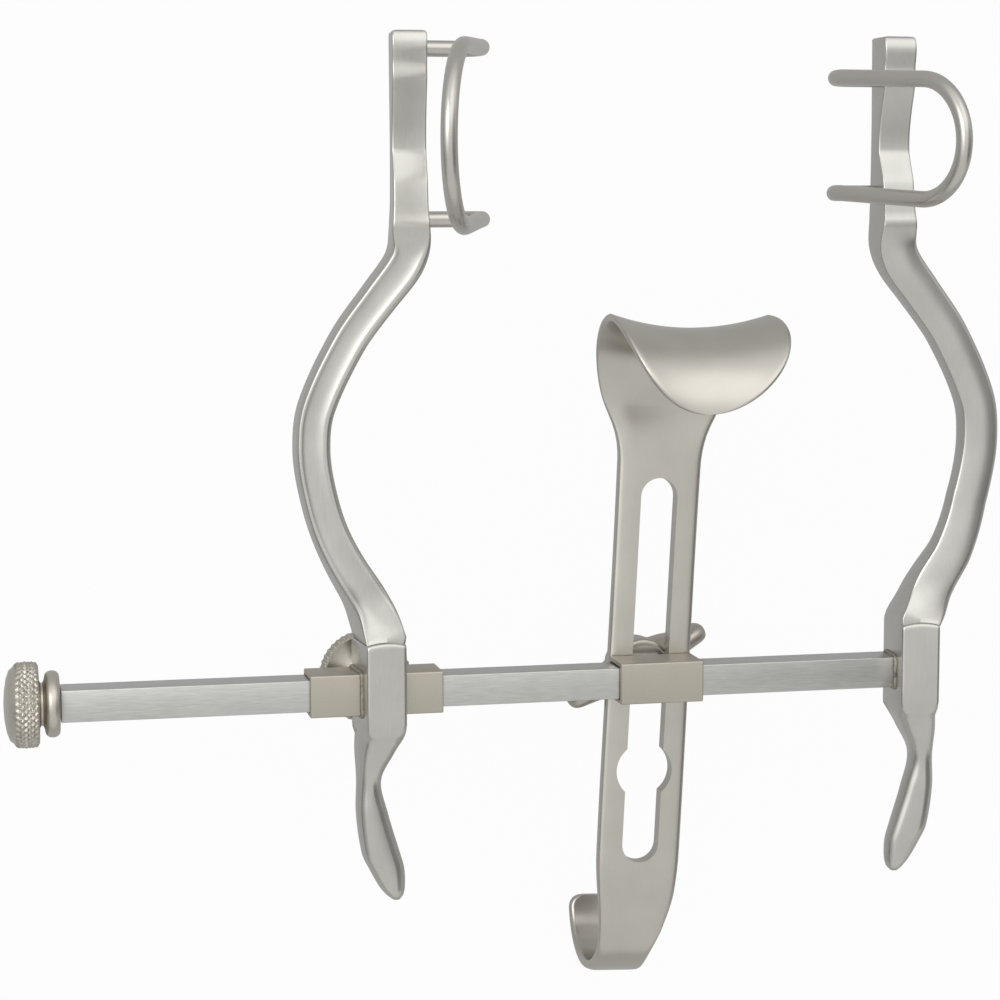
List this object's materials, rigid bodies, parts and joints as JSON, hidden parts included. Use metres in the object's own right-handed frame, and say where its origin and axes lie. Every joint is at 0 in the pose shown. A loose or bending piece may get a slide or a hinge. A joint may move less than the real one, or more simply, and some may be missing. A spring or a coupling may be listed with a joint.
{
  "type": "abdominal retractor",
  "caption": "Self-retaining retractor: bar with a fixed and a sliding arm that carry bent wire blades, and a clamped, slotted centre blade with a saddle lip and a hook.",
  "frame": {"origin": "middle of the bounding box, at its lowest point: the instrument lies on its back", "axes": "+X along the crossbar from the end knob to the fixed arm, +Y from the handles to the arm tips, +Z towards the front, where the blades stand up"},
  "size_m": [0.1924, 0.186, 0.0732],
  "materials": {
    "bar": "brushed along its length",
    "sleeve": "fine blasted",
    "forging": "satin polished",
    "blade": "satin, brushed across",
    "wire": "satin polished",
    "knurled": "knurled, blasted",
    "casting": "cast and tumbled",
    "braze": "rough filler metal"
  },
  "bodies": {
    "bar": {"crossbar": "bar", "fixed_arm": "forging", "fixed_braze_bead": "braze", "fixed_blade_wire": "wire"},
    "knob": {"end_knob_head": "knurled", "end_knob_shank": "wire"},
    "sliding_side": {"sliding_arm": "forging", "slide_sleeve": "sleeve", "outer_braze_bead": "braze", "inner_braze_bead": "braze", "sliding_blade_wire": "wire"},
    "thumb_screw": {"thumb_screw_head": "knurled", "thumb_screw_shank": "wire"},
    "carriage": {"centre_sleeve": "sleeve", "clamp_stud": "wire"},
    "nut": {"wing_nut": "casting"},
    "washer": {"clamp_washer": "wire"},
    "blade": {"centre_blade": "blade"}
  },
  "joints": [
    {"name": "end_knob_turn", "type": "hinge", "parent": "bar", "child": "knob", "pos_m": [-0.09159, -0.03, 0.032], "axis": [1, 0, 0], "continuous": true},
    {"name": "arm_slide", "type": "slide", "parent": "bar", "child": "sliding_side", "axis": [1, 0, 0], "range_m": [-0.0455, 0.029]},
    {"name": "thumb_screw_turn", "type": "hinge", "parent": "sliding_side", "child": "thumb_screw", "pos_m": [-0.02734, -0.029, 0.02403], "axis": [0.0802, 0, 0.9968], "continuous": true},
    {"name": "centre_slide", "type": "slide", "parent": "bar", "child": "carriage", "axis": [1, 0, 0], "range_m": [-0.029, 0.028]},
    {"name": "wing_nut_turn", "type": "hinge", "parent": "carriage", "child": "nut", "pos_m": [0.02801, -0.03, 0.02], "axis": [0, 0, 1], "continuous": true},
    {"name": "blade_tilt", "type": "hinge", "parent": "carriage", "child": "washer", "pos_m": [0.02801, -0.03, 0.024], "axis": [0, 0, 1], "range_deg": [-2, 6]},
    {"name": "blade_slide", "type": "slide", "parent": "washer", "child": "blade", "axis": [-0.0518, -0.9987, 0], "range_m": [-0.031, 0.032]}
  ]
}
